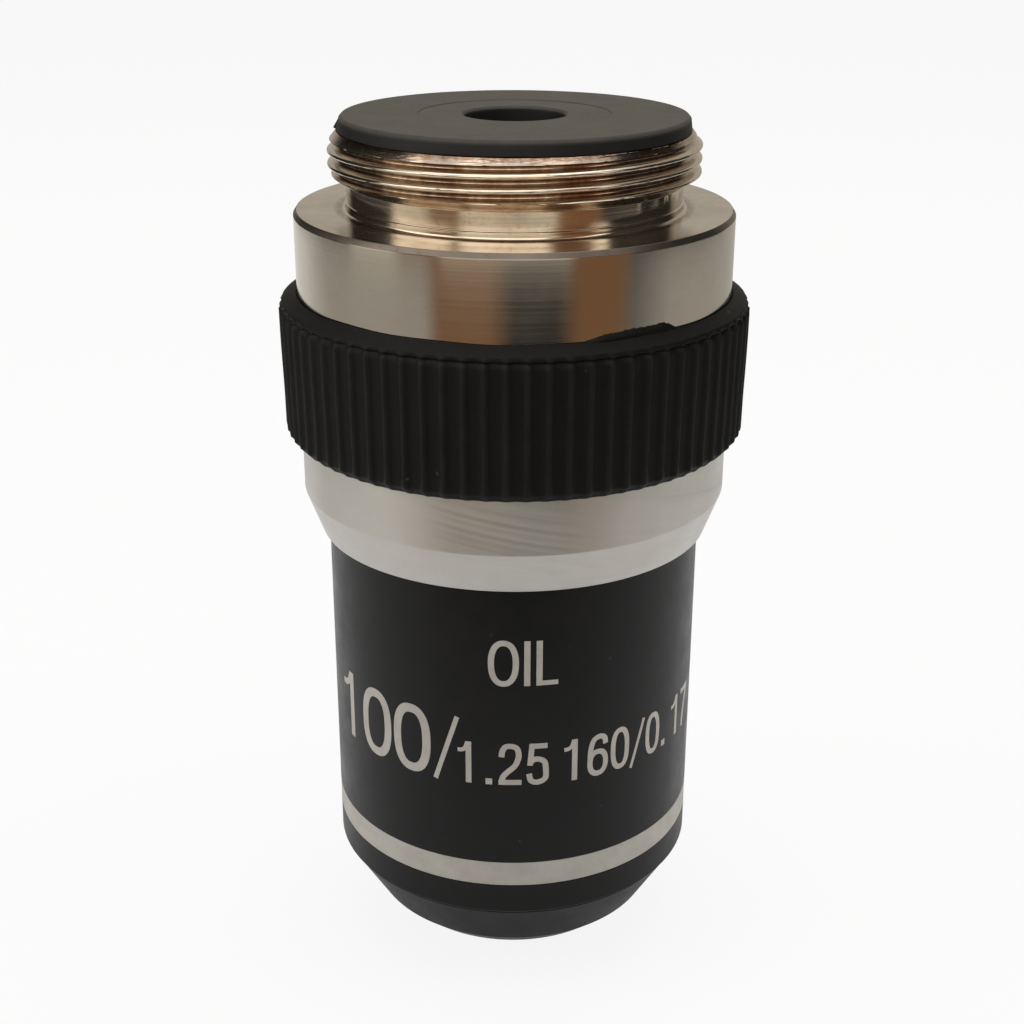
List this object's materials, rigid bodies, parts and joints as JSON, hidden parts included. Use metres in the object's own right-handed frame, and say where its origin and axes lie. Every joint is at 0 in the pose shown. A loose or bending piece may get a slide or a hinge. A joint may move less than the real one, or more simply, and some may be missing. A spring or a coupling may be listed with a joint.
{
  "type": "microscope objective",
  "caption": "Screw-in microscope objective: rear stop disc, mounting thread, ribbed grip ring, conical collar, black barrel sleeve and a sprung lens tip that slides up into the nose cone.",
  "frame": {"origin": "centre of the flat front tip, which is what the objective stands on", "axes": "+Z along the optical axis, from the front tip towards the mounting thread; +Y points to the guide screw under the grip, at the back; -Y is the lettered front"},
  "size_m": [0.0264, 0.0264, 0.0496],
  "materials": {
    "nickel_plate": "bright nickel plate on turned brass",
    "satin_nickel": "satin turned",
    "black_lacquer": "satin black lacquer",
    "pale_enamel": "satin enamel",
    "black_rubber": "matt moulded",
    "black_plastic": "matt moulded",
    "turned_brass": "turned",
    "blackened_brass": "matt black oxide",
    "stainless": "fine turned",
    "spring_wire": "drawn wire",
    "crown_glass": "polished and coated",
    "flint_glass": "polished"
  },
  "bodies": {
    "housing": {"thread_mount": "nickel_plate", "rear_stop_disc": "black_plastic", "grip_ring": "black_rubber", "collar_body": "satin_nickel", "outer_sleeve": "black_lacquer", "marker_band": "pale_enamel", "nose_cone": "black_lacquer", "guide_screw": "stainless", "retraction_spring": "spring_wire"},
    "front": {"inner_barrel": "turned_brass", "parfocal_lock_ring": "turned_brass", "lens_tube": "blackened_brass", "front_cell": "stainless", "front_lens": "crown_glass", "meniscus_cell": "blackened_brass", "meniscus_lens": "crown_glass", "meniscus_retainer": "blackened_brass", "doublet_a_cell": "blackened_brass", "doublet_a_flint": "flint_glass", "doublet_a_crown": "crown_glass", "spacer_tube": "blackened_brass", "doublet_b_cell": "blackened_brass", "doublet_b_flint": "flint_glass", "doublet_b_crown": "crown_glass", "retaining_ring": "blackened_brass"}
  },
  "joints": [
    {"name": "front_slide", "type": "slide", "parent": "housing", "child": "front", "axis": [0, 0, 1], "range_m": [0, 0.0012], "stiffness_N_per_m": 140, "springref_m": -0.0135, "deforming": ["retraction_spring"]}
  ]
}
